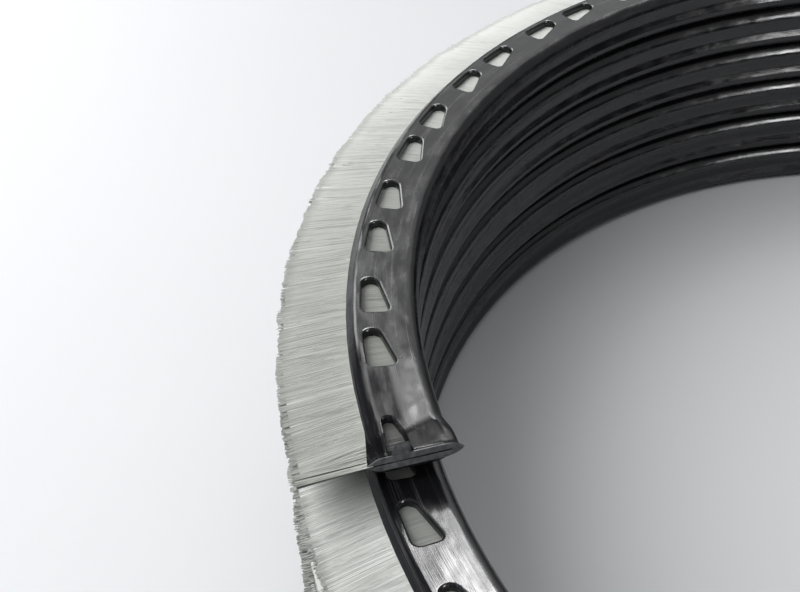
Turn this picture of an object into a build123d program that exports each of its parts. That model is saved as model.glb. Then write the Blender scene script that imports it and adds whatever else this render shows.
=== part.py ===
"""A brush seal strip, wound in a close coil.

A black plastic carrier, hollow behind and slotted along its outer edge, grips a continuous
pack of nylon bristles. The strip lies on its side, turn on turn, with the bristles outwards.
Each turn lies level and climbs onto the one below it over the strip's hidden lower end.
The coil's axis is Z, its base is at Z = 0, and the strip climbs anticlockwise from above.
Lengths are in millimetres and angles in degrees.
"""

from build123d import *
import os
from math import cos, pi, radians, sin

os.makedirs("parts", exist_ok=True)

# The coil
coil_radius = 124.2  # axis to the back of the carrier
turn_height = 10.5  # one turn, back wall
turn_gap = 0.4  # free space between two turns
turn_count = 6  # turns in the stack
lower_end_angle = -28.0  # where the strip starts, on the base
climb_angle = 70.0  # how much of each turn is spent climbing to the next
upper_end_angle = 235.9  # where the strip was cut off, on the top turn
climb_stations = 7  # sections that shape a climb

# The carrier's section
carrier_depth = 12.5  # back to outer lip
back_bevel = 1.45  # rounding of the back's edges
back_wall = 1.6
side_wall = 1.75  # upper and lower wall
lip_width = 1.6  # sloped band along the outer edge, down to the slot

# The bristles
bristle_reach = 12.1  # free length, beyond the lips
bristle_droop = 2.7  # how far the upper tips hang below the slot

# The windows, in pairs along the upper wall
pair_pitch = 30.1  # pair to pair, along the windows' straight outer sides
window_pitch = 13.4  # window to window within a pair
end_margin = 4.8  # cut end to the middle of the last window
window_length = 8.6
window_side = 9.6  # back of the carrier to a window's straight outer side
window_wide = 4.9  # width at the end nearer the cut
window_narrow = 2.6  # width at the other end
window_corner = 0.8
windowed_turns = 1.03  # stretch that no other turn covers

# The pinched end, crushed when the strip was cut off
pinch_length = 8.2
pinch_height = 2.8
pinch_rise = 1.15  # crushed middle above the turn's middle
pinch_inward = 2.0  # how far the crushed back spreads
pinch_outward = 1.0  # how far the crushed lips spread
pinch_slit = 0.3  # what is left of the hollow
pinch_wall = 1.6  # back wall, crushed
pinch_lip = 0.6
pinch_splay = 0.6  # how far the bristles spread beyond the crushed lips

turn_pitch = turn_height + turn_gap
half_height = turn_height / 2
pack_height = half_height - side_wall
window_radius = coil_radius + window_side
degrees_per_mm = 180 / (pi * window_radius)
level_angle = 360 - climb_angle
strip_angle = 360 * (turn_count - 1) + upper_end_angle - lower_end_angle
pinch_angle = pinch_length * degrees_per_mm


def radial_plane(angle, height):
    """The plane through the axis at an angle, with X outwards from the axis and Y up."""
    turn = radians(angle)
    return Plane(
        origin=(0, 0, height),
        x_dir=(cos(turn), sin(turn), 0),
        z_dir=(sin(turn), -cos(turn), 0),
    )


def middle_height(along):
    """Height of the strip's middle at an angle counted along the strip from its lower end."""
    turns_below = along // 360
    climb = max(0, along % 360 - level_angle) / climb_angle
    eased = climb**3 * (10 - 15 * climb + 6 * climb**2)
    return half_height + turn_pitch * (turns_below + eased)


def slot_height(along):
    """Height of the slot's upper face, which comes down to the slit in the pinch."""
    crushed = max(0, 1 - (strip_angle - along) / pinch_angle)
    return middle_height(along) + pack_height + crushed * (slit_upper - pack_height)


def window_plane(along):
    """A plane below a window's straight side, with X outwards and Y along the strip."""
    step = 1.0
    rise = slot_height(along + step) - slot_height(along - step)
    run = radians(2 * step) * window_radius
    turn = radians(lower_end_angle + along)
    outwards = Vector(cos(turn), sin(turn), 0)
    forwards = Vector(-sin(turn) * run, cos(turn) * run, rise)
    centre = outwards * window_radius + Vector(0, 0, slot_height(along) - turn_gap / 2)
    return Plane(origin=centre, x_dir=outwards, z_dir=outwards.cross(forwards))


# Sections, as distance from the axis and height above the strip's middle
back = coil_radius
lips = back + carrier_depth
tips = lips + bristle_reach
root = back + back_wall
carrier_section = [
    (back, back_bevel - half_height),
    (back, half_height - back_bevel),
    (back + back_bevel, half_height),
    (lips - lip_width, half_height),
    (lips, pack_height),
    (root, pack_height),
    (root, -pack_height),
    (lips, -pack_height),
    (lips - lip_width, -half_height),
    (back + back_bevel, -half_height),
]
bristle_section = [
    (root, -pack_height),
    (root, pack_height),
    (lips, pack_height),
    (tips, pack_height - bristle_droop),
    (tips, -pack_height),
]

# The same sections at the cut, crushed flat
crushed_back = back - pinch_inward
crushed_lips = lips + pinch_outward
crushed_root = crushed_back + pinch_wall
crushed_upper = pinch_rise + pinch_height / 2
crushed_lower = pinch_rise - pinch_height / 2
slit_upper = pinch_rise + pinch_slit / 2
slit_lower = pinch_rise - pinch_slit / 2
crushed_carrier = [
    (crushed_back, slit_lower),
    (crushed_back, slit_upper),
    (crushed_back + pinch_lip, crushed_upper),
    (crushed_lips - pinch_lip, crushed_upper),
    (crushed_lips, slit_upper),
    (crushed_root, slit_upper),
    (crushed_root, slit_lower),
    (crushed_lips, slit_lower),
    (crushed_lips - pinch_lip, crushed_lower),
    (crushed_back + pinch_lip, crushed_lower),
]
crushed_bristles = [
    (crushed_root, slit_lower),
    (crushed_root, slit_upper),
    (crushed_lips, slit_upper),
    (tips, slit_upper + pinch_splay),
    (tips, slit_lower),
]

# A window's corners, outwards from its straight side and along the strip, and the windows' places
half_length = window_length / 2
window_outline = [
    (0, -half_length),
    (0, half_length),
    (-window_wide, half_length),
    (-window_narrow, -half_length),
]
pair_angle = pair_pitch * degrees_per_mm
last_window = strip_angle - end_margin * degrees_per_mm
pair_count = round(windowed_turns * 360 / pair_angle)
far_windows = [last_window - pair_angle * pair for pair in range(pair_count)]
near_windows = [along + window_pitch * degrees_per_mm for along in far_windows[1:]]


def draw(section, along):
    """A section of the strip as a face, at an angle counted along it."""
    with BuildSketch(radial_plane(lower_end_angle + along, middle_height(along))) as face:
        with BuildLine():
            Polyline(section, close=True)
        make_face()
    return face.sketch


def wind(section):
    """The strip's whole length up to the pinch: level turns, joined by climbs."""
    for turn in range(turn_count):
        start = 360 * turn
        level = min(level_angle, strip_angle - pinch_angle - start)
        revolve(draw(section, start), axis=Axis.Z, revolution_arc=level)
        if turn < turn_count - 1:
            climb_step = climb_angle / (climb_stations - 1)
            stations = [start + level + climb_step * station for station in range(climb_stations)]
            loft([draw(section, along) for along in stations])


def pinch(before, after):
    """The last stretch, crushed flat by the cut."""
    loft([draw(before, strip_angle - pinch_angle), draw(after, strip_angle)], ruled=True)


# Bristle pack
with BuildPart() as bristle_pack:
    wind(bristle_section)
    pinch(bristle_section, crushed_bristles)
bristle_pack.part.label = "bristle_pack"

# Carrier
with BuildPart() as carrier_strip:
    wind(carrier_section)
    pinch(carrier_section, crushed_carrier)
    for along in far_windows + near_windows:
        with BuildSketch(window_plane(along)):
            with BuildLine():
                Polyline(window_outline, close=True)
            make_face()
            chamfer(vertices(), length=window_corner)
    extrude(amount=side_wall + turn_gap, mode=Mode.SUBTRACT)
carrier_strip.part.label = "carrier_strip"

for piece in (carrier_strip.part, bristle_pack.part):
    export_step(piece, f"parts/{piece.label}.step")
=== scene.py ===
"""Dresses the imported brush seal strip: a wound black plastic carrier with tapered windows and a
pinched end, and its nylon bristles, on a pale floor in soft light.

Lengths are in metres and angles in degrees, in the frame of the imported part: the coil's axis is Z,
it rests on Z = 0, and the strip climbs anticlockwise as seen from above.
"""

import math

import bpy
import numpy as np
from mathutils import Matrix, Vector


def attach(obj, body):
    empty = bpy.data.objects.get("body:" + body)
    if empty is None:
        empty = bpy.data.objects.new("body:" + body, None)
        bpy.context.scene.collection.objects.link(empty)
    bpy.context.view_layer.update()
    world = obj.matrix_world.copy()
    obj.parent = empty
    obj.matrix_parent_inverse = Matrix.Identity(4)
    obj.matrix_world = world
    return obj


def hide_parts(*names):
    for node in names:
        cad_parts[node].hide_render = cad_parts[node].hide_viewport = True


bl_info = {
    "name": "Brush seal strip",
    "version": (1, 0, 0),
    "blender": (4, 5, 0),
    "location": "View3D > Sidebar > Brush strip",
    "description": "Winds a brush seal strip in a coil, fills it with bristles and lights it",
    "category": "Object",
}

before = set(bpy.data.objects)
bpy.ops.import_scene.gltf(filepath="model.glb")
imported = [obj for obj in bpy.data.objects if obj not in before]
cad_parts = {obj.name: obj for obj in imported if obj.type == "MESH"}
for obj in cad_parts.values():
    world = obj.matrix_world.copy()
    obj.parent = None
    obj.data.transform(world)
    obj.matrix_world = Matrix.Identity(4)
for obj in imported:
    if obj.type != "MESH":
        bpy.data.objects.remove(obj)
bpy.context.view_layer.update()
BODY = "root"


class StripSizes(bpy.types.PropertyGroup):
    """Sizes of the wound strip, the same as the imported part's."""

    coil_radius: bpy.props.FloatProperty(
        name="Coil radius", description="Axis to the back of the carrier", default=0.1242, unit="LENGTH"
    )
    turn_height: bpy.props.FloatProperty(
        name="Turn height", description="Height of one turn", default=0.0105, unit="LENGTH"
    )
    turn_gap: bpy.props.FloatProperty(
        name="Turn gap", description="Free space between two turns", default=0.0004, unit="LENGTH"
    )
    turn_count: bpy.props.IntProperty(name="Turns", description="Turns in the stack", default=6, min=1)
    lower_end: bpy.props.FloatProperty(
        name="Lower end", description="Where the strip starts, in degrees from X", default=-28.0
    )
    climb_angle: bpy.props.FloatProperty(
        name="Climb", description="Degrees of each turn spent climbing to the next", default=70.0
    )
    upper_end: bpy.props.FloatProperty(
        name="Cut end", description="Where the strip is cut off, in degrees from X", default=235.9
    )
    depth: bpy.props.FloatProperty(
        name="Carrier depth", description="Back to outer lip", default=0.0125, unit="LENGTH"
    )
    back_rounding: bpy.props.FloatProperty(
        name="Back rounding", description="Radius of the back's edges", default=0.0025, unit="LENGTH"
    )
    back_groove: bpy.props.FloatProperty(
        name="Back groove", description="Depth of the groove along the back", default=0.0006, unit="LENGTH"
    )
    crease_rounding: bpy.props.FloatProperty(
        name="Crease rounding", description="Radius beside the sloped band", default=0.0004, unit="LENGTH"
    )
    lip_rounding: bpy.props.FloatProperty(
        name="Lip rounding", description="Radius of the outer lips", default=0.0002, unit="LENGTH"
    )
    back_wall: bpy.props.FloatProperty(
        name="Back wall", description="Thickness of the back", default=0.0016, unit="LENGTH"
    )
    side_wall: bpy.props.FloatProperty(
        name="Side wall", description="Thickness of the upper and lower wall", default=0.00175, unit="LENGTH"
    )
    lip_width: bpy.props.FloatProperty(
        name="Lip width", description="Sloped band along the outer edge", default=0.0016, unit="LENGTH"
    )
    bristle_reach: bpy.props.FloatProperty(
        name="Bristle reach", description="Free length beyond the lips", default=0.0121, unit="LENGTH"
    )
    bristle_droop: bpy.props.FloatProperty(
        name="Bristle droop", description="Upper tips below the slot", default=0.0027, unit="LENGTH"
    )


class WindowSizes(bpy.types.PropertyGroup):
    """The tapered windows, in pairs along the upper wall."""

    pair_pitch: bpy.props.FloatProperty(
        name="Pair pitch", description="Pair to pair, along the straight sides", default=0.0301, unit="LENGTH"
    )
    pitch: bpy.props.FloatProperty(
        name="Window pitch", description="Window to window within a pair", default=0.0134, unit="LENGTH"
    )
    end_margin: bpy.props.FloatProperty(
        name="End margin", description="Cut end to the last window's middle", default=0.0048, unit="LENGTH"
    )
    length: bpy.props.FloatProperty(
        name="Length", description="Along the strip", default=0.0086, unit="LENGTH"
    )
    side: bpy.props.FloatProperty(
        name="Side", description="Back to a window's straight side", default=0.0096, unit="LENGTH"
    )
    wide: bpy.props.FloatProperty(
        name="Wide end", description="Width at the end nearer the cut", default=0.0049, unit="LENGTH"
    )
    narrow: bpy.props.FloatProperty(
        name="Narrow end", description="Width at the other end", default=0.0026, unit="LENGTH"
    )
    corner: bpy.props.FloatProperty(name="Corner", description="Corner radius", default=0.0012, unit="LENGTH")
    rim: bpy.props.FloatProperty(
        name="Rim", description="Rounding of the upper edges", default=0.00055, unit="LENGTH"
    )
    turns: bpy.props.FloatProperty(
        name="Windowed turns", description="Stretch that no other turn covers", default=1.03
    )


class PinchSizes(bpy.types.PropertyGroup):
    """The last stretch, crushed flat when the strip was cut off."""

    length: bpy.props.FloatProperty(
        name="Length", description="Along the strip", default=0.0082, unit="LENGTH"
    )
    height: bpy.props.FloatProperty(name="Height", description="At the cut", default=0.0028, unit="LENGTH")
    rise: bpy.props.FloatProperty(
        name="Rise", description="Crushed middle above the turn's middle", default=0.00115, unit="LENGTH"
    )
    inward: bpy.props.FloatProperty(
        name="Inward", description="How far the crushed back spreads", default=0.002, unit="LENGTH"
    )
    outward: bpy.props.FloatProperty(
        name="Outward", description="How far the crushed lips spread", default=0.001, unit="LENGTH"
    )
    slit: bpy.props.FloatProperty(
        name="Slit", description="What is left of the hollow", default=0.0003, unit="LENGTH"
    )
    window_share: bpy.props.FloatProperty(
        name="Window share", description="What is left of the last window's length and width", default=0.64
    )
    valley: bpy.props.FloatProperty(
        name="Valley", description="Depth of the dent just before the cut", default=0.0009, unit="LENGTH"
    )


class StripFinish(bpy.types.PropertyGroup):
    """Colours of the strip and of the stage."""

    plastic: bpy.props.FloatVectorProperty(
        name="Plastic", description="Carrier colour", default=(0.010, 0.010, 0.0115), subtype="COLOR",
        min=0, max=1,
    )
    plastic_scuffed: bpy.props.FloatVectorProperty(
        name="Scuffs", description="Carrier where it is rubbed", default=(0.10, 0.10, 0.105), subtype="COLOR",
        min=0, max=1,
    )
    plastic_cut: bpy.props.FloatVectorProperty(
        name="Cut plastic", description="Torn face of the cut", default=(0.26, 0.26, 0.27), subtype="COLOR",
        min=0, max=1,
    )
    nylon: bpy.props.FloatVectorProperty(
        name="Nylon", description="Lit filaments", default=(0.83, 0.845, 0.81), subtype="COLOR", min=0, max=1
    )
    # Also the colour of the painted shade on the top turn's filaments towards the cut.
    nylon_dull_and_shaded: bpy.props.FloatVectorProperty(
        name="Dull nylon", description="Duller filaments", default=(0.45, 0.465, 0.42), subtype="COLOR",
        min=0, max=1,
    )
    # Also the base of the painted shade in the window beds.
    nylon_tips_and_shade: bpy.props.FloatVectorProperty(
        name="Nylon tips", description="Cut tips", default=(0.40, 0.41, 0.38), subtype="COLOR", min=0, max=1
    )
    floor: bpy.props.FloatVectorProperty(
        name="Floor", description="Pale table", default=(0.86, 0.87, 0.89), subtype="COLOR", min=0, max=1
    )


STEPS_PER_TURN = 144
PINCH_STEPS = 28
CLEARANCE = 0.0002  # a window's cutter over the upper face, and how near a place counts as on a face
END_CLEARANCE = 0.0007  # section edges nearer than this to a window's end are dissolved
PACK_SETBACK = 0.0016  # cut end to the pack inside the crushed carrier
CORE_COVER = 0.00004  # filaments over the pack's core
WINDOW_BULGE = 0.00055  # how far the pack swells into the windows
CORE_SETBACK = 0.0014  # tips to the core's outer side
UPPER_FILAMENTS = 15000  # on the face that is open to view
PROUD_FILAMENTS = 70  # strays that stand proud of that face
TURN_FILAMENTS = 9000  # through each turn
OPEN_TURNS = 1.02  # stretch of the pack's upper face that is open to view
UPPER_LAYER = 0.010  # share of the pack's height in which the upper face's filaments lie
UPPER_ROOTS = (0.0012, 0.004)  # back wall to where they start
UPPER_THICKNESS = (0.00010, 0.00016)
PROUD_DEPTH = 1.006
PROUD_ROOTS = (0, 0.004)  # lips to where the strays start
PROUD_TRIM = (0.0006, 0.006)
PROUD_LEAN = 0.0005
PROUD_THICKNESS = (0.00016, 0.00024)
TURN_ROOTS = 0.0004  # how far inside the lips each turn's filaments start
TURN_THICKNESS = (0.0002, 0.00034)
LEAST_BEND = 0.0001  # root to bend, at the least
TRIM, SCALLOP, FRAY = 0.00045, 0.00032, 0.00024  # unevenness of the tips
LEAN, STRAY_SHARE, STRAY_LEAN, OWN_LEAN = 0.00026, 0.03, 0.0012, 0.00014
WANDER_KNOTS = 40000
CORE_BEND = 0.45  # share of the bristles' reach at which the core has a ring
FAN_OUT = 0.16  # how open the crushed pack is again at its tips
SLOW_CLOSING = 0.42  # share of the pinch's closing that comes before its fold
FOLD_START, FOLD_LENGTH = 0.62, 0.30  # shares of the pinch's length
SPREAD_START = 0.35
VALLEY_PLACE, VALLEY_WIDTH = 0.87, 0.07
WINDOW_SHIFT = 0.02  # how far the last window is drawn on towards the cut
GROOVE = ((-1.0, 0), (-0.9, 0), (-0.4, 0.9), (-0.1, 1), (0.6, 0.8), (1.0, 0))  # shares of height, of depth
PATTERN_RADIUS = 0.130  # turns an angle about the axis into a distance along the strip
# Ranges over which a finish or a painted shade sets in, as distance along the strip from 180 degrees round
CUT_FROM, CUT_TO = (0.104, 0.112), (0.135, 0.140)
TORN_FACE = (0.12660, 0.12675)
SAG_FROM = (0.104, 0.121)
CLIMB_FROM, CLIMB_TO = (0.180, 0.186), (0.345, 0.350)
# Painted shade on the top turn's filaments, darker towards the cut
PAINTED_SHADE_FROM, PAINTED_SHADE_TO = (-0.02, 0.14), (0.20, 0.26)
# Painted shade, darker still, in the window beds beside the crushed end
CUT_WINDOW_SHADE_FROM = (0.110, 0.120)
# The same as distance from the axis
BACK_FACE = (0.1246, 0.1262)
GAP_DEPTH = (0.1262, 0.1268)
PATCH_FROM, PATCH_TO = (0.1300, 0.1312), (0.1339, 0.1344)
FOLD_FROM = (0.1328, 0.1352)
BAND_FROM = (0.1345, 0.1356)
CREASE_FROM, CREASE_TO = (0.1345, 0.1348), (0.1353, 0.1357)
WINDOWS_TO = (0.1352, 0.1362)
# The same as height, and as shares of a turn's height and of a filament
TOP_CARRIER, TOP_BRISTLES = (0.0545, 0.0565), (0.0560, 0.0575)
GAP_SHARE = (0.10, 0.17)
TIP_SHARE = (0.80, 0.97)
LAMPS = (
    # name, degrees anticlockwise from X, elevation, distance, width, height, power,
    # whether it lights pale surfaces, whether it shows as sheen
    ("left_window", 172, 42, 1.3, 1.0, 1.0, 5.5, True, True),
    ("front_window", 230, 44, 0.9, 0.75, 0.75, 4.9, True, False),
    ("left_sheen", 165, 26, 1.3, 0.7, 0.7, 8.0, False, True),
    ("wall_light", 118, 34, 1.5, 1.0, 1.0, 2.2, False, True),
    ("right_light", 352, 24, 1.2, 0.22, 1.0, 13.0, False, True),
    ("high_light", 121, 63, 1.2, 0.38, 0.38, 15.0, False, True),
)
WORLD_STRENGTH = 0.31
TABLE_SIZE = 4.0
TABLE_DROP = 0.0002  # below the coil's base
CAMERA_PLACE = (0, -0.19411, 0.18928)
CAMERA_PAN, CAMERA_TILT, CAMERA_ROLL = -0.7149, 0.7058, -0.0294  # radians, fitted to the photo
CAMERA_LENS, CAMERA_SENSOR = 50.54, 36.0  # millimetres
ANTICLOCKWISE = (0, 0, -1)  # the spin operator's axis for a strip that winds anticlockwise from above


def settings():
    """The scene's four groups of sizes and colours."""
    scene = bpy.context.scene
    return scene.strip_sizes, scene.window_sizes, scene.pinch_sizes, scene.strip_finish


class Course:
    """The strip's course: how high its middle is at an angle counted along it, and where it ends."""

    def __init__(self):
        sizes, windows, pinch, _ = settings()
        self.sizes = sizes
        self.half = sizes.turn_height / 2
        self.pitch = sizes.turn_height + sizes.turn_gap
        self.pack_half = self.half - sizes.side_wall
        self.back = sizes.coil_radius
        self.lips = sizes.coil_radius + sizes.depth
        self.tips = self.lips + sizes.bristle_reach
        self.root = self.back + sizes.back_wall
        self.window_radius = self.back + windows.side
        self.per_metre = math.degrees(1 / self.window_radius)
        self.length = 360 * (sizes.turn_count - 1) + sizes.upper_end - sizes.lower_end
        self.pinch_span = pinch.length * self.per_metre
        self.pinch_start = self.length - self.pinch_span

    def height(self, along):
        """Height of the strip's middle, for one angle or an array of them."""
        along = np.asarray(along, float)
        level = 360 - self.sizes.climb_angle
        climb = np.clip((along % 360 - level) / self.sizes.climb_angle, 0, 1)
        eased = climb**3 * (10 - 15 * climb + 6 * climb**2)
        return self.half + self.pitch * (along // 360 + eased)

    def turn_matrix(self, along):
        """Carries a shape made on the X axis, with Z = 0 at its turn's middle, to its place."""
        angle = math.radians(self.sizes.lower_end + along)
        return Matrix.Translation((0, 0, float(self.height(along)))) @ Matrix.Rotation(angle, 4, "Z")


def deselect_all():
    bpy.ops.object.select_all(action="DESELECT")


def edit_mesh(piece):
    """Opens a piece alone in edit mode."""
    deselect_all()
    piece.select_set(True)
    bpy.context.view_layer.objects.active = piece
    bpy.ops.object.mode_set(mode="EDIT")


def object_mode():
    bpy.ops.object.mode_set(mode="OBJECT")


def select_parts(piece, vertex_rule=None, edge_rule=None):
    """Selects vertices or edges of the open piece by a rule on their place."""
    bpy.ops.mesh.select_mode(type="VERT" if vertex_rule else "EDGE")
    bpy.ops.mesh.select_all(action="DESELECT")
    object_mode()
    if vertex_rule:
        for vertex in piece.data.vertices:
            vertex.select = vertex_rule(vertex)
    else:
        for edge in piece.data.edges:
            edge.select = edge_rule(edge)
    bpy.ops.object.mode_set(mode="EDIT")


def drawn_outline(name, corners, plane):
    """A flat face drawn corner by corner from one vertex. plane turns (x, y) into a place."""
    places = [Vector(plane(*corner)) for corner in corners]
    deselect_all()
    bpy.ops.mesh.primitive_plane_add(size=0.001, location=places[0])
    piece = bpy.context.object
    piece.name = piece.data.name = name
    bpy.ops.object.transform_apply(location=True, rotation=True, scale=True)
    bpy.ops.object.mode_set(mode="EDIT")
    bpy.ops.mesh.select_mode(type="VERT")
    bpy.ops.mesh.select_all(action="SELECT")
    bpy.ops.mesh.merge(type="CENTER")
    for before, after in zip(places, places[1:]):
        bpy.ops.mesh.extrude_region_move(TRANSFORM_OT_translate={"value": after - before})
    bpy.ops.mesh.select_all(action="SELECT")
    bpy.ops.mesh.edge_face_add()
    return piece


def round_corners(piece, places, radius, segments):
    """Rounds the outline's corners that lie at the given places."""
    points = [Vector(place) for place in places]
    select_parts(piece, vertex_rule=lambda v: any((v.co - p).length < 1e-6 for p in points))
    bpy.ops.mesh.bevel(offset=radius, offset_type="OFFSET", segments=segments, affect="VERTICES")


def close_and_turn_out():
    """Merges doubles of the open mesh and turns its faces outwards."""
    bpy.ops.mesh.select_all(action="SELECT")
    bpy.ops.mesh.remove_doubles(threshold=1e-7)
    bpy.ops.mesh.normals_make_consistent(inside=False)


def wound(piece, course, outline_size):
    """Winds the open outline about the axis over the whole strip and lifts each section to its turn."""
    steps = math.ceil(course.pinch_start / 360 * STEPS_PER_TURN)
    bpy.ops.mesh.select_all(action="SELECT")
    bpy.ops.mesh.spin(
        steps=steps, angle=math.radians(course.pinch_start), center=(0, 0, 0), axis=ANTICLOCKWISE
    )
    bpy.ops.mesh.spin(
        steps=PINCH_STEPS,
        angle=math.radians(course.pinch_span),
        center=(0, 0, 0),
        axis=ANTICLOCKWISE,
    )
    object_mode()
    stations = np.concatenate(
        [
            np.linspace(0, course.pinch_start, steps + 1),
            np.linspace(course.pinch_start, course.length, PINCH_STEPS + 1)[1:],
        ]
    )
    places = vertex_places(piece)
    along = np.repeat(stations, outline_size)
    if len(along) != len(places):
        raise RuntimeError(f"{piece.name}: {len(places)} vertices, and {len(along)} were expected")
    places[:, 2] += course.height(along)
    set_vertex_places(piece, turned(places, course.sizes.lower_end))


def turned(places, degrees):
    """Places turned about the axis."""
    angle = math.radians(degrees)
    c, s = math.cos(angle), math.sin(angle)
    return np.column_stack(
        [places[:, 0] * c - places[:, 1] * s, places[:, 0] * s + places[:, 1] * c, places[:, 2]]
    )


def vertex_places(piece):
    places = np.empty(len(piece.data.vertices) * 3, np.float32)
    piece.data.vertices.foreach_get("co", places)
    return places.reshape(-1, 3).astype(float)


def set_vertex_places(piece, places):
    piece.data.vertices.foreach_set("co", places.astype(np.float32).ravel())
    piece.data.update()


def window_places(course):
    """Angles along the strip at which the windows lie, the last one first."""
    _, windows, _, _ = settings()
    pair = windows.pair_pitch * course.per_metre
    last = course.length - windows.end_margin * course.per_metre
    count = round(windows.turns * 360 / pair)
    far = [last - pair * index for index in range(count)]
    near = [along + windows.pitch * course.per_metre for along in far[1:]]
    return far + near


def window_cutters(course):
    """One tapered cutter, modelled once and copied to each window's place, all joined."""
    _, windows, _, _ = settings()
    half = windows.length / 2
    top = course.half + CLEARANCE
    outline = [(0, -half), (0, half), (-windows.wide, half), (-windows.narrow, -half)]

    def plane(x, y):
        return (course.window_radius + x, y, top)

    cutter = drawn_outline("window_cutter", outline, plane)
    round_corners(cutter, [plane(*corner) for corner in outline], windows.corner, 4)
    bpy.ops.mesh.select_all(action="SELECT")
    depth = settings()[0].side_wall + CLEARANCE + 0.001
    bpy.ops.mesh.extrude_region_move(TRANSFORM_OT_translate={"value": (0, 0, -depth)})
    close_and_turn_out()
    object_mode()
    copies = []
    for along in window_places(course):
        one = cutter.copy()
        one.data = cutter.data.copy()
        one.data.transform(course.turn_matrix(along))
        bpy.context.collection.objects.link(one)
        copies.append(one)
    deselect_all()
    for one in copies:
        one.select_set(True)
    bpy.context.view_layer.objects.active = copies[0]
    bpy.ops.object.join()
    bpy.data.objects.remove(cutter)
    return copies[0]


def cut_windows(carrier, course):
    """Cuts the windows through the upper wall and breaks their upper rims."""
    cutter = window_cutters(course)
    cut = carrier.modifiers.new("windows", "BOOLEAN")
    cut.operation = "DIFFERENCE"
    cut.solver = "EXACT"
    cut.object = cutter
    deselect_all()
    carrier.select_set(True)
    bpy.context.view_layer.objects.active = carrier
    bpy.ops.object.modifier_apply(modifier=cut.name)
    bpy.data.objects.remove(cutter)
    clear_window_ends(carrier, course)
    round_rims(carrier, course)


def slopes_beside(mesh):
    """How nearly level the faces beside each edge are, from 0 to 1."""
    level = {}
    for face in mesh.polygons:
        for key in face.edge_keys:
            level.setdefault(key, []).append(abs(face.normal.z))
    return level


def angle_from_start(place, course):
    """A place's angle about the axis, from the strip's lower end."""
    return math.degrees(math.atan2(place.y, place.x)) - course.sizes.lower_end


def clear_window_ends(carrier, course):
    """Dissolves the section edges close along a window's ends, where a rounded rim would spike."""
    _, windows, _, _ = settings()
    mesh = carrier.data
    upward = slopes_beside(mesh)
    half = windows.length / 2 * course.per_metre
    ends = np.array([along + side for along in window_places(course)[1:] for side in (-half, half)])

    def beside_end(edge):
        sides = upward.get(edge.key, ())
        if len(sides) != 2 or min(sides) < 0.99:
            return False
        places = [mesh.vertices[index].co for index in edge.vertices]
        first, second = (angle_from_start(place, course) for place in places)
        apart = np.abs((first - ends + 180) % 360 - 180) / course.per_metre
        return abs(first - second) < 0.01 and apart.min() < END_CLEARANCE and on_top(places, course)

    edit_mesh(carrier)
    select_parts(carrier, edge_rule=beside_end)
    bpy.ops.mesh.dissolve_edges(use_verts=True)
    object_mode()


def round_rims(carrier, course):
    """Rounds the edges between the upper face and the windows' walls."""
    sizes, windows, _, _ = settings()
    mesh = carrier.data
    upward = slopes_beside(mesh)
    inner = course.back + sizes.back_rounding
    outer = course.lips - sizes.lip_width - CLEARANCE

    def on_rim(edge):
        sides = upward.get(edge.key, ())
        ends = [mesh.vertices[index].co for index in edge.vertices]
        between = all(inner < math.hypot(end.x, end.y) < outer for end in ends)
        return between and len(sides) == 2 and max(sides) > 0.9 and min(sides) < 0.4 and on_top(ends, course)

    edit_mesh(carrier)
    select_parts(carrier, edge_rule=on_rim)
    bpy.ops.mesh.bevel(
        offset=windows.rim, offset_type="OFFSET", segments=3, affect="EDGES", clamp_overlap=False
    )
    object_mode()


def on_top(places, course):
    """Whether the places lie on a turn's upper face, and not on the hollow's."""
    for place in places:
        angle = angle_from_start(place, course)
        turns = [angle + 360 * turn for turn in range(-1, course.sizes.turn_count + 1)]
        gaps = [abs(float(course.height(along)) + course.half - place.z) for along in turns]
        if min(gaps) > CLEARANCE:
            return False
    return True


def squeeze_at(share):
    """How far the pinch has closed at a share of its length: slowly, and then in one steep fold."""
    fold = np.clip((share - FOLD_START) / FOLD_LENGTH, 0, 1)
    return SLOW_CLOSING * share**1.5 + (1 - SLOW_CLOSING) * fold * fold * (3 - 2 * fold)


def spread_at(share):
    """How far the crushed edges have spread at a share of the pinch's length."""
    return np.clip((share - SPREAD_START) / (1 - SPREAD_START), 0, 1) ** 1.25


def pinch_share(places, course):
    """How far along the pinch each place lies: 0 where it starts, and 1 at the cut."""
    angle = np.degrees(np.arctan2(places[:, 1], places[:, 0])) % 360
    return 1 - (course.sizes.upper_end - angle) / course.pinch_span


def in_pinch(places, course):
    """Which places lie in the pinch, their shares of its length, and the height of its turn's middle."""
    share = pinch_share(places, course)
    middle = float(course.height(course.length))
    inside = (share > 0) & (share < 1.001) & (places[:, 2] > middle - course.half - CLEARANCE)
    return inside, np.clip(share[inside], 0, 1), middle


def narrowed(places, course):
    """Places with the last window drawn together towards the cut and its straight side."""
    _, windows, pinch, _ = settings()
    share = pinch_share(places, course)
    radius = np.hypot(places[:, 0], places[:, 1])
    per_metre = course.per_metre / course.pinch_span
    margin = 2 * windows.rim
    half = windows.length / 2
    centre = 1 - windows.end_margin * per_metre
    ending = centre + half * per_metre
    last = np.abs(share - centre) < (half + margin) * per_metre
    last &= radius > course.window_radius - windows.wide - margin
    last &= radius < course.window_radius + margin
    last &= places[:, 2] > float(course.height(course.length))
    share[last] = ending + WINDOW_SHIFT - (ending - share[last]) * pinch.window_share
    radius[last] = course.window_radius - (course.window_radius - radius[last]) * pinch.window_share
    angle = np.radians(course.sizes.upper_end - (1 - share) * course.pinch_span)
    result = places.copy()
    result[last, 0] = (radius * np.cos(angle))[last]
    result[last, 1] = (radius * np.sin(angle))[last]
    return result


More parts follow.
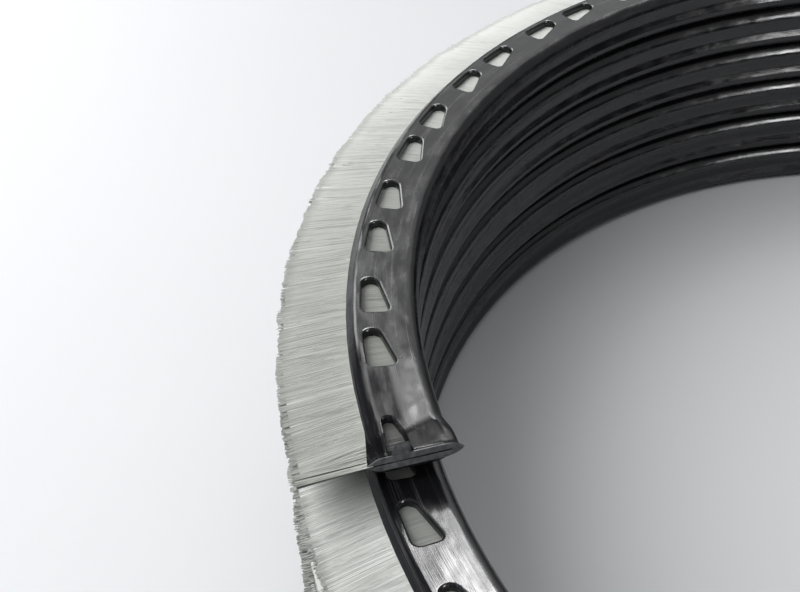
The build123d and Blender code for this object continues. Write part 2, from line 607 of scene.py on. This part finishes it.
def crushed(places, course):
    """Places of the carrier's last stretch, squeezed flat towards the cut."""
    pinch = settings()[2]
    inside, share, middle = in_pinch(places, course)
    radius = np.hypot(places[inside, 0], places[inside, 1])
    height = places[inside, 2] - middle
    level = np.abs(height)
    wall = (pinch.height - pinch.slit) / 2 / course.sizes.side_wall
    flat = np.where(
        level < course.pack_half,
        level / course.pack_half * pinch.slit / 2,
        pinch.slit / 2 + (level - course.pack_half) * wall,
    )
    flat_height = pinch.rise + np.sign(height) * flat
    stretch = 1 + (pinch.inward + pinch.outward) / course.sizes.depth
    flat_radius = course.back - pinch.inward + (radius - course.back) * stretch
    scale = 1 + (flat_radius / radius - 1) * spread_at(share)
    inner = np.clip(1 - (radius - course.back) / course.sizes.depth, 0, 1)
    valley = pinch.valley * inner * np.exp(-(((share - VALLEY_PLACE) / VALLEY_WIDTH) ** 2))
    result = places.copy()
    result[inside, 0] *= scale
    result[inside, 1] *= scale
    result[inside, 2] = middle + height + (flat_height - height) * squeeze_at(share) - valley
    return result


def carrier_corners(course):
    """Corners of the carrier's section above its middle: back, crease and lip."""
    crease = course.lips - course.sizes.lip_width
    return (course.back, course.half), (crease, course.half), (course.lips, course.pack_half)


def carrier_outline(course):
    """The carrier's section, as distance from the axis and height above the turn's middle."""
    sizes = course.sizes
    upper = carrier_corners(course)
    lower = [(radius, -height) for radius, height in reversed(upper)]
    groove_half = course.half - sizes.back_rounding - CLEARANCE
    groove = [
        (course.back + sizes.back_groove * depth, share * groove_half)
        for share, depth in GROOVE
    ]
    slot = [(course.root, course.pack_half), (course.root, -course.pack_half)]
    return [*groove, *upper, *slot, *lower]


def section_plane(radius, height):
    return (radius, 0, height)


class STRIP_OT_wind_carrier(bpy.types.Operator):
    """Winds the hollow carrier, cuts its windows and pinches its end"""

    bl_idname = "strip.wind_carrier"
    bl_label = "Wind the carrier"

    def execute(self, context):
        course = Course()
        sizes, _, _, _ = settings()
        carrier = drawn_outline("carrier_wound", carrier_outline(course), section_plane)
        roundings = (sizes.back_rounding, 6), (sizes.crease_rounding, 2), (sizes.lip_rounding, 2)
        for (radius, height), (rounding, segments) in zip(carrier_corners(course), roundings):
            pair = [section_plane(radius, height), section_plane(radius, -height)]
            round_corners(carrier, pair, rounding, segments)
        object_mode()
        outline_size = len(carrier.data.vertices)
        bpy.ops.object.mode_set(mode="EDIT")
        wound(carrier, course, outline_size)
        edit_mesh(carrier)
        close_and_turn_out()
        object_mode()
        cut_windows(carrier, course)
        set_vertex_places(carrier, crushed(narrowed(vertex_places(carrier), course), course))
        bpy.ops.object.shade_smooth_by_angle(angle=math.radians(38))
        even = carrier.modifiers.new("even_faces", "WEIGHTED_NORMAL")
        even.keep_sharp = True
        bpy.ops.object.modifier_apply(modifier=even.name)
        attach(carrier, BODY)
        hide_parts("carrier_strip")
        carrier.data.materials.clear()
        carrier.data.materials.append(carrier_plastic())
        return {"FINISHED"}


def pack_height(course, along, radius, depth):
    """Height above the turn's middle in the bristle pack, at a depth of 0 (lower face) to 1 (upper face).

    The upper face is flat in the slot and droops beyond it. In the pinch the pack narrows to the slit
    and fans out again beyond the lips.
    """
    sizes, _, pinch, _ = settings()
    out = np.clip((np.asarray(radius, float) - course.lips) / sizes.bristle_reach, 0, 1)
    inwards = np.clip((course.lips - np.asarray(radius, float)) / (course.lips - course.root), 0, 1)
    top = course.pack_half - sizes.bristle_droop * out + WINDOW_BULGE * inwards
    height = -course.pack_half + (top + course.pack_half) * depth
    share = np.clip((along - course.pinch_start) / course.pinch_span, 0, 1)
    squeeze = squeeze_at(share)
    closed = pinch.slit / 2 / course.pack_half + FAN_OUT * out
    return pinch.rise * squeeze + height * (1 - squeeze * (1 - closed))


def strands(name, course, along, depth, roots, tip_trim, lean, thickness, shade):
    """Thin three-sided filaments as one mesh, each from its root over the lips to its tip.

    along: angle of each filament; depth: 0 at the lower face to 1 at the upper face; roots: radius
    where each starts; tip_trim: how much shorter each is; lean: sideways shift of its tip; shade: its
    place between the two nylon colours.
    """
    count = len(along)
    stations = 3
    share = np.array([0.0, 0.0, 1.0])
    roots = np.where(along > course.length - PACK_SETBACK * course.per_metre, course.lips - LEAST_BEND, roots)
    bends = np.maximum(roots + LEAST_BEND, course.lips)
    radius = np.stack([roots, bends, course.tips - tip_trim], 1)
    height = course.height(along)[:, None] + pack_height(course, along[:, None], radius, depth[:, None])
    bend = lean[:, None] * share[None, :]
    angle = np.radians(course.sizes.lower_end + along)[:, None] + bend / radius
    centre = np.stack([radius * np.cos(angle), radius * np.sin(angle), height], -1)
    sideways = np.stack([-np.sin(angle), np.cos(angle), np.zeros_like(angle)], -1)
    up = np.array([0.0, 0.0, 1.0])
    corners = []
    for corner in range(3):
        turn = math.radians(90 + 120 * corner)
        offset = math.cos(turn) * sideways + math.sin(turn) * up
        corners.append(centre + offset * thickness[:, None, None] / 2)
    places = np.stack(corners, 2).reshape(-1, 3)
    first = np.arange(count)[:, None] * stations * 3
    sides = []
    for station in range(stations - 1):
        for corner in range(3):
            a, b = station * 3 + corner, station * 3 + (corner + 1) % 3
            sides.append(np.concatenate([first + a, first + b, first + b + 3, first + a + 3], 1))
    quads = np.concatenate(sides, 0)
    last = (stations - 1) * 3
    caps = np.concatenate([first + last, first + last + 1, first + last + 2], 1)
    mesh = bpy.data.meshes.new(name)
    mesh.vertices.add(len(places))
    mesh.vertices.foreach_set("co", places.astype(np.float32).ravel())
    corners_in_faces = np.concatenate([quads.ravel(), caps.ravel()])
    mesh.loops.add(len(corners_in_faces))
    mesh.loops.foreach_set("vertex_index", corners_in_faces.astype(np.int32))
    starts = np.concatenate([np.arange(len(quads)) * 4, len(quads) * 4 + np.arange(len(caps)) * 3])
    mesh.polygons.add(len(starts))
    mesh.polygons.foreach_set("loop_start", starts.astype(np.int32))
    tint = mesh.attributes.new("filament_tint", "FLOAT", "POINT")
    tint.data.foreach_set("value", np.repeat(shade, stations * 3).astype(np.float32))
    reach = mesh.attributes.new("filament_reach", "FLOAT", "POINT")
    reach.data.foreach_set("value", np.tile(np.repeat(share, 3), count).astype(np.float32))
    mesh.update()
    mesh.validate()
    mesh.shade_smooth()
    piece = bpy.data.objects.new(name, mesh)
    bpy.context.collection.objects.link(piece)
    return piece


def wander(rng, along, per_degree, octaves):
    """Smooth random wander along the strip, about 1 high."""
    total = np.zeros(len(along))
    for octave in range(octaves):
        knots = rng.normal(0, 1, WANDER_KNOTS)
        at = along * per_degree * 2**octave + 17 * octave
        whole = at.astype(int)
        part = at - whole
        part = part * part * (3 - 2 * part)
        total += (knots[whole] * (1 - part) + knots[whole + 1] * part) / 1.6**octave
    return total


def ragged(rng, along):
    """How much shorter each filament is: a wander in scallops along the strip, and a ragged cut."""
    scallops = SCALLOP * wander(rng, along, 0.55, 3)
    return np.maximum(0, TRIM + scallops) + rng.exponential(FRAY, len(along))


def leaning(rng, along):
    """Sideways shift of each tip: neighbours lean together, and a few stray."""
    count = len(along)
    stray = rng.normal(0, 1, count) * np.where(rng.random(count) < STRAY_SHARE, STRAY_LEAN, OWN_LEAN)
    return LEAN * wander(rng, along, 0.8, 2) + stray


def open_face(rng, course):
    """The filaments of the upper face that no other turn covers."""
    count = UPPER_FILAMENTS
    along = np.sort(rng.uniform(course.length - 360 * OPEN_TURNS, course.length, count))
    return strands(
        "bristles_upper_face",
        course,
        along,
        depth=1 - UPPER_LAYER * rng.random(count),
        roots=course.root + rng.uniform(*UPPER_ROOTS, count),
        tip_trim=ragged(rng, along),
        lean=leaning(rng, along),
        thickness=rng.uniform(*UPPER_THICKNESS, count),
        shade=rng.random(count),
    )


def strays(rng, course):
    """A few filaments that stand proud of the upper face."""
    count = PROUD_FILAMENTS
    along = rng.uniform(course.length - 360 * OPEN_TURNS, course.length, count)
    return strands(
        "bristles_proud",
        course,
        along,
        depth=np.full(count, PROUD_DEPTH),
        roots=course.lips + rng.uniform(*PROUD_ROOTS, count),
        tip_trim=rng.uniform(*PROUD_TRIM, count),
        lean=rng.normal(0, PROUD_LEAN, count),
        thickness=rng.uniform(*PROUD_THICKNESS, count),
        shade=np.zeros(count),
    )


def turn_filaments(rng, course, turn):
    """The filaments through the depth of one turn."""
    count = TURN_FILAMENTS
    along = np.sort(rng.uniform(360 * turn, min(360 * turn + 360, course.length), count))
    return strands(
        f"bristles_turn_{turn + 1}",
        course,
        along,
        depth=rng.random(count),
        roots=np.full(count, course.lips - TURN_ROOTS),
        tip_trim=ragged(rng, along),
        lean=leaning(rng, along),
        thickness=rng.uniform(*TURN_THICKNESS, count),
        shade=rng.random(count),
    )


class STRIP_OT_lay_bristles(bpy.types.Operator):
    """Fills the carrier with the bristle pack: a dense core and thin filaments around it"""

    bl_idname = "strip.lay_bristles"
    bl_label = "Lay the bristles"

    def execute(self, context):
        course = Course()
        material = nylon_filament()
        core = bristle_core(course)
        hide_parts("bristle_pack")
        pieces = [core]
        rng = np.random.default_rng(41)
        pieces += [open_face(rng, course), strays(rng, course)]
        pieces += [turn_filaments(rng, course, turn) for turn in range(course.sizes.turn_count)]
        for piece in pieces:
            piece.data.materials.clear()
            piece.data.materials.append(material)
            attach(piece, BODY)
        return {"FINISHED"}


def bristle_core(course):
    """The dense middle of the pack, wound just under its faces and set back from the cut."""
    reach = course.sizes.bristle_reach
    radii = [course.root, course.lips, course.lips + CORE_BEND * reach, course.tips - CORE_SETBACK]
    below = [(radius, float(pack_height(course, 0, radius, 0)) + CORE_COVER) for radius in radii]
    above = [(radius, float(pack_height(course, 0, radius, 1)) - CORE_COVER) for radius in radii]
    outline = below + above[::-1]
    core = drawn_outline("bristle_core", outline, section_plane)
    wound(core, course, len(outline))
    places = vertex_places(core)
    inside, share, middle = in_pinch(places, course)
    radius = np.hypot(places[inside, 0], places[inside, 1])
    top = pack_height(course, 0, radius, 1)
    depth = (places[inside, 2] - middle + course.pack_half) / (top + course.pack_half)
    along = course.pinch_start + share * (course.pinch_span - PACK_SETBACK * course.per_metre)
    angle = np.radians(course.sizes.lower_end + along)
    places[inside, 0] = radius * np.cos(angle)
    places[inside, 1] = radius * np.sin(angle)
    places[inside, 2] = middle + pack_height(course, along, radius, depth)
    set_vertex_places(core, places)
    edit_mesh(core)
    close_and_turn_out()
    object_mode()
    bpy.ops.object.shade_smooth()
    tint = core.data.attributes.new("filament_tint", "FLOAT", "POINT")
    tint.data.foreach_set("value", np.full(len(core.data.vertices), 0.5, np.float32))
    return core


def new_material(name):
    """A material with a Principled shader, and its node tree."""
    material = bpy.data.materials.new(name)
    material.use_nodes = True
    return material, material.node_tree


def node(tree, kind, **values):
    """A node with its sockets set by name, or by number for unnamed ones."""
    made = tree.nodes.new(kind)
    for key, value in values.items():
        if key in made.bl_rna.properties:
            setattr(made, key, value)
        else:
            made.inputs[key.replace("_", " ")].default_value = value
    return made


def maths(tree, operation, *inputs):
    """A Math node fed with sockets or numbers. Returns its result."""
    made = tree.nodes.new("ShaderNodeMath")
    made.operation = operation
    for socket, value in zip(made.inputs, inputs):
        if isinstance(value, bpy.types.NodeSocket):
            tree.links.new(value, socket)
        else:
            socket.default_value = value
    return made.outputs[0]


def product(tree, first, *others):
    """The product of sockets or numbers."""
    for other in others:
        first = maths(tree, "MULTIPLY", first, other)
    return first


def total(tree, first, *others):
    """The sum of sockets or numbers."""
    for other in others:
        first = maths(tree, "ADD", first, other)
    return first


def rest(tree, share):
    """What a share leaves of 1."""
    return maths(tree, "SUBTRACT", 1.0, share)


def strip_coordinates(tree):
    """Distance along the strip from 180 degrees round, distance from the axis, and height."""
    place = tree.nodes.new("ShaderNodeTexCoord").outputs["Object"]
    split = tree.nodes.new("ShaderNodeSeparateXYZ")
    tree.links.new(place, split.inputs[0])
    x, y, height = split.outputs
    angle = maths(tree, "ARCTAN2", product(tree, y, -1.0), product(tree, x, -1.0))
    radius = maths(tree, "SQRT", total(tree, product(tree, x, x), product(tree, y, y)))
    return product(tree, angle, PATTERN_RADIUS), radius, height


def stretched_noise(tree, coordinates, scales, detail, roughness=0.55):
    """Noise on the strip's own coordinates, with a scale for each of them."""
    joined = tree.nodes.new("ShaderNodeCombineXYZ")
    for socket, value, scale in zip(joined.inputs, coordinates, scales):
        tree.links.new(product(tree, value, scale), socket)
    noise = node(tree, "ShaderNodeTexNoise", Scale=1.0, Detail=detail, Roughness=roughness)
    tree.links.new(joined.outputs[0], noise.inputs["Vector"])
    return noise.outputs["Fac"]


def ramp(tree, value, low, high):
    """0 below low, 1 above high, and smooth between."""
    made = tree.nodes.new("ShaderNodeMapRange")
    made.interpolation_type = "SMOOTHSTEP"
    made.inputs["From Min"].default_value = low
    made.inputs["From Max"].default_value = high
    tree.links.new(value, made.inputs["Value"])
    return made.outputs["Result"]


def band(tree, value, rise, fall):
    """1 between two ranges, 0 outside them, and smooth across each."""
    return maths(tree, "SUBTRACT", ramp(tree, value, *rise), ramp(tree, value, *fall))


def mixed_colour(tree, share, first, second):
    """One colour mixed into another by a share."""
    made = tree.nodes.new("ShaderNodeMix")
    made.data_type = "RGBA"
    tree.links.new(share, made.inputs["Factor"])
    for socket, value in ((made.inputs[6], first), (made.inputs[7], second)):
        if isinstance(value, bpy.types.NodeSocket):
            tree.links.new(value, socket)
        else:
            socket.default_value = (*value, 1)
    return made.outputs[2]


def dullness_and_painted_shade(tree, place, near_cut, blotches):
    """How much the sheen is lowered: a little beside the cut, in broken stretches along the crease, and, as
    painted shade, on the crushed outer band, on a patch beside the cut and in the gaps between turns.
    """
    along, radius, height = place
    sizes = settings()[0]
    # Painted shade: less sheen on the crushed outer band beside the cut, and on a mottled patch inward of it.
    outer_band = product(tree, ramp(tree, radius, *BAND_FROM), near_cut)
    patch = product(tree, near_cut, ramp(tree, radius, *PATCH_FROM))
    patch = maths(tree, "SUBTRACT", patch, ramp(tree, radius, *PATCH_TO))
    uneven = total(tree, 0.45, product(tree, ramp(tree, blotches, 0.35, 0.65), 0.5))
    patch = product(tree, maths(tree, "MAXIMUM", patch, 0.0), uneven)
    turn_share = maths(tree, "FRACT", maths(tree, "DIVIDE", height, sizes.turn_height + sizes.turn_gap))
    # Painted shade: less sheen in the gaps between turns, where shade falls.
    in_gap = product(
        tree,
        rest(tree, ramp(tree, turn_share, *GAP_SHARE)),
        rest(tree, ramp(tree, radius, *GAP_DEPTH)),
        rest(tree, band(tree, along, CLIMB_FROM, CLIMB_TO)),
    )
    gap_and_band_shade = maths(tree, "MAXIMUM", outer_band, maths(tree, "MAXIMUM", patch, product(tree, in_gap, 1.3)))
    breaks = rest(tree, ramp(tree, stretched_noise(tree, place, (90, 500, 500), 3), 0.42, 0.60))
    breaks = total(tree, 0.16, product(tree, breaks, 0.32))
    breaks = product(tree, breaks, band(tree, radius, CREASE_FROM, CREASE_TO))
    return total(tree, product(tree, gap_and_band_shade, 0.36), product(tree, near_cut, 0.10), breaks)


def plastic_relief(tree, place, near_cut, scratches):
    """Height of the surface: scratches, a slow ripple, grain, and the dents beside the cut."""
    along, radius, _ = place
    hollows = product(tree, stretched_noise(tree, place, (230, 330, 330), 1), 0.00012)
    ripple = product(tree, stretched_noise(tree, place, (110, 200, 200), 2), 0.00016)
    grain = product(tree, stretched_noise(tree, place, (6000, 6000, 6000), 2), 0.000002)
    sag = product(tree, ramp(tree, along, *SAG_FROM), -0.0003)
    fold = product(tree, ramp(tree, radius, *FOLD_FROM), -0.0005)
    dents = product(tree, near_cut, total(tree, hollows, sag, fold))
    return total(tree, product(tree, scratches, 0.000012), ripple, grain, dents)


def carrier_plastic():
    """Black moulded plastic: soft sheen, lengthwise scratches, rubbed streaks, dents near the cut, and less
    sheen as painted shade beside the cut and in the gaps between turns.
    """
    finish = settings()[3]
    material, tree = new_material("black_carrier_plastic")
    shader = tree.nodes["Principled BSDF"]
    place = strip_coordinates(tree)
    along, radius, height = place
    scratches = stretched_noise(tree, place, (60, 7000, 7000), 3)
    streaks = stretched_noise(tree, place, (38, 1000, 800), 4)
    blotches = stretched_noise(tree, place, (170, 420, 420), 4)
    near_cut = product(tree, band(tree, along, CUT_FROM, CUT_TO), ramp(tree, height, *TOP_CARRIER))
    cut_face = product(tree, ramp(tree, along, *TORN_FACE), near_cut)
    on_back = rest(tree, ramp(tree, radius, *BACK_FACE))
    rubbed = product(tree, ramp(tree, streaks, 0.50, 0.72), ramp(tree, scratches, 0.42, 0.7))
    rubbed = product(tree, rubbed, rest(tree, product(tree, on_back, 0.6)))
    colour = mixed_colour(tree, rubbed, tuple(finish.plastic), tuple(finish.plastic_scuffed))
    colour = mixed_colour(tree, product(tree, cut_face, streaks), colour, tuple(finish.plastic_cut))
    tree.links.new(colour, shader.inputs["Base Color"])
    mottle = product(tree, ramp(tree, blotches, 0.30, 0.70), 0.18)
    rough = total(tree, 0.12, mottle, product(tree, rubbed, 0.16), product(tree, near_cut, 0.16))
    tree.links.new(rough, shader.inputs["Roughness"])
    shine = maths(tree, "SUBTRACT", 0.5, dullness_and_painted_shade(tree, place, near_cut, blotches))
    tree.links.new(maths(tree, "MAXIMUM", shine, 0.02), shader.inputs["Specular IOR Level"])
    bump = node(tree, "ShaderNodeBump", Distance=1.0, Strength=1.0)
    tree.links.new(plastic_relief(tree, place, near_cut, scratches), bump.inputs["Height"])
    tree.links.new(bump.outputs[0], shader.inputs["Normal"])
    return material


def softened_normal(tree):
    """Normals turned mostly upwards, so that neighbouring filaments are lit alike."""
    surface = tree.nodes.new("ShaderNodeNewGeometry").outputs["Normal"]
    soft = tree.nodes.new("ShaderNodeVectorMath")
    soft.operation = "MULTIPLY_ADD"
    tree.links.new(surface, soft.inputs[0])
    soft.inputs[1].default_value = (0.30, 0.30, 0.30)
    soft.inputs[2].default_value = (0, 0, 0.70)
    even = tree.nodes.new("ShaderNodeVectorMath")
    even.operation = "NORMALIZE"
    tree.links.new(soft.outputs[0], even.inputs[0])
    return even.outputs[0]


def nylon_filament():
    """Natural nylon: milky, slightly shiny filaments of uneven tint, duller at their cut tips, with painted
    shade on the top turn towards the cut and in the window beds.
    """
    finish = settings()[3]
    material, tree = new_material("milky_nylon_filament")
    shader = tree.nodes["Principled BSDF"]
    shader.inputs["Roughness"].default_value = 0.36
    tint = node(tree, "ShaderNodeAttribute", attribute_name="filament_tint").outputs["Fac"]
    reach = node(tree, "ShaderNodeAttribute", attribute_name="filament_reach").outputs["Fac"]
    place = strip_coordinates(tree)
    along, radius, height = place
    lines = stretched_noise(tree, place, (1700, 50, 1700), 3)
    patches = stretched_noise(tree, place, (190, 60, 190), 3)
    towards_cut = band(tree, along, PAINTED_SHADE_FROM, PAINTED_SHADE_TO)
    on_top_turn = ramp(tree, height, *TOP_BRISTLES)
    share = total(tree, product(tree, tint, 0.12), product(tree, lines, 0.26), product(tree, patches, 0.30))
    # Painted shade: the top turn's filaments are darkened towards the cut.
    share = total(tree, share, product(tree, towards_cut, on_top_turn, 0.60))
    # Painted shade in the window beds, where less light falls.
    window_bed_shade = product(tree, rest(tree, ramp(tree, radius, *WINDOWS_TO)), towards_cut, 0.80)
    # Painted shade, darker still, in the window beds beside the crushed end.
    cut_window_shade = product(tree, ramp(tree, along, *CUT_WINDOW_SHADE_FROM), on_top_turn, window_bed_shade, 0.85)
    tips = product(tree, ramp(tree, reach, *TIP_SHARE), 0.7)
    colour = mixed_colour(tree, ramp(tree, share, -0.05, 1.10), tuple(finish.nylon), tuple(finish.nylon_dull_and_shaded))
    # The painted shade in the window beds, and the darker tips, are mixed in from the tips' colour.
    for amount, brightness in ((window_bed_shade, 0.75), (cut_window_shade, 0.3), (tips, 1.0)):
        shaded = tuple(brightness * part for part in finish.nylon_tips_and_shade)
        colour = mixed_colour(tree, amount, colour, shaded)
    tree.links.new(colour, shader.inputs["Base Color"])
    # Less sheen in the window beds, as part of their painted shade.
    shine = maths(tree, "SUBTRACT", 0.4, product(tree, window_bed_shade, 0.45))
    tree.links.new(shine, shader.inputs["Specular IOR Level"])
    tree.links.new(softened_normal(tree), shader.inputs["Normal"])
    return material


def table_top():
    """The pale table: plain, with a faint mottle."""
    finish = settings()[3]
    material, tree = new_material("pale_table")
    shader = tree.nodes["Principled BSDF"]
    shader.inputs["Roughness"].default_value = 0.6
    shader.inputs["Specular IOR Level"].default_value = 0.2
    place = tree.nodes.new("ShaderNodeTexCoord").outputs["Object"]
    mottle = node(tree, "ShaderNodeTexNoise", Scale=9.0, Detail=3.0)
    tree.links.new(place, mottle.inputs["Vector"])
    pale = tuple(finish.floor)
    colour = mixed_colour(tree, mottle.outputs["Fac"], pale, tuple(0.97 * part for part in pale))
    tree.links.new(colour, shader.inputs["Base Color"])
    return material


def area_light(name, azimuth, elevation, distance, width, height, power, lights_pale, shows_sheen):
    """A soft lamp that faces the origin."""
    across = distance * math.cos(math.radians(elevation))
    turn = math.radians(azimuth)
    rise = distance * math.sin(math.radians(elevation))
    place = Vector((across * math.cos(turn), across * math.sin(turn), rise))
    deselect_all()
    bpy.ops.object.light_add(type="AREA", location=place)
    lamp = bpy.context.object
    lamp.name = name
    lamp.data.shape = "RECTANGLE"
    lamp.data.size = width
    lamp.data.size_y = height
    lamp.data.energy = power
    lamp.visible_diffuse = lights_pale
    lamp.visible_glossy = shows_sheen
    lamp.rotation_euler = (-place).to_track_quat("-Z", "Y").to_euler()


def soft_world():
    """Even light from all round, and a plain white background."""
    world = bpy.data.worlds.new("soft_white")
    world.use_nodes = True
    tree = world.node_tree
    tree.nodes.clear()
    light = node(tree, "ShaderNodeBackground", Color=(0.96, 0.98, 1.0, 1), Strength=WORLD_STRENGTH)
    white = node(tree, "ShaderNodeBackground", Color=(1, 1, 1, 1), Strength=1.0)
    path = tree.nodes.new("ShaderNodeLightPath")
    mix = tree.nodes.new("ShaderNodeMixShader")
    out = tree.nodes.new("ShaderNodeOutputWorld")
    tree.links.new(path.outputs["Is Camera Ray"], mix.inputs[0])
    tree.links.new(light.outputs[0], mix.inputs[1])
    tree.links.new(white.outputs[0], mix.inputs[2])
    tree.links.new(mix.outputs[0], out.inputs[0])
    bpy.context.scene.world = world


def photo_camera():
    """The camera that took the photo, as fitted to the coil."""
    data = bpy.data.cameras.new("photo_camera")
    data.lens = CAMERA_LENS
    data.sensor_width = CAMERA_SENSOR
    data.clip_start = 0.01
    data.clip_end = 20.0
    camera = bpy.data.objects.new("photo_camera", data)
    bpy.context.collection.objects.link(camera)
    turn = (
        Matrix.Rotation(-CAMERA_PAN, 4, "Z")
        @ Matrix.Rotation(math.pi / 2 - CAMERA_TILT, 4, "X")
        @ Matrix.Rotation(CAMERA_ROLL, 4, "Z")
    )
    camera.matrix_world = Matrix.Translation(CAMERA_PLACE) @ turn
    return camera


class STRIP_OT_set_stage(bpy.types.Operator):
    """Lays the pale table, and sets the lamps, the background and the camera"""

    bl_idname = "strip.set_stage"
    bl_label = "Set the stage"

    def execute(self, context):
        deselect_all()
        bpy.ops.mesh.primitive_plane_add(size=TABLE_SIZE, location=(0, 0, -TABLE_DROP))
        table = bpy.context.object
        table.name = "table"
        bpy.ops.object.transform_apply(location=True, rotation=True, scale=True)
        table.data.materials.append(table_top())
        for lamp in LAMPS:
            area_light(*lamp)
        soft_world()
        context.scene.camera = photo_camera()
        context.scene.view_settings.view_transform = "Standard"
        return {"FINISHED"}


class STRIP_PT_panel(bpy.types.Panel):
    """Sizes, colours and steps of the brush seal strip"""

    bl_label = "Brush strip"
    bl_space_type = "VIEW_3D"
    bl_region_type = "UI"
    bl_category = "Brush strip"

    def draw(self, context):
        for name in GROUPS:
            group = getattr(context.scene, name)
            for key in group.__annotations__:
                self.layout.prop(group, key)
        for step in STEPS:
            self.layout.operator(step.bl_idname)


GROUPS = {
    "strip_sizes": StripSizes,
    "window_sizes": WindowSizes,
    "pinch_sizes": PinchSizes,
    "strip_finish": StripFinish,
}
STEPS = (STRIP_OT_wind_carrier, STRIP_OT_lay_bristles, STRIP_OT_set_stage)


def register():
    for group in GROUPS.values():
        bpy.utils.register_class(group)
    for step in STEPS:
        bpy.utils.register_class(step)
    bpy.utils.register_class(STRIP_PT_panel)
    for name, group in GROUPS.items():
        setattr(bpy.types.Scene, name, bpy.props.PointerProperty(type=group))


def unregister():
    for name in GROUPS:
        delattr(bpy.types.Scene, name)
    bpy.utils.unregister_class(STRIP_PT_panel)
    for step in reversed(STEPS):
        bpy.utils.unregister_class(step)
    for group in reversed(list(GROUPS.values())):
        bpy.utils.unregister_class(group)


def main():
    """Registers the parts of the script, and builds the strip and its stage."""
    register()
    bpy.ops.strip.wind_carrier()
    bpy.ops.strip.lay_bristles()
    bpy.ops.strip.set_stage()


if __name__ == "__main__":
    main()
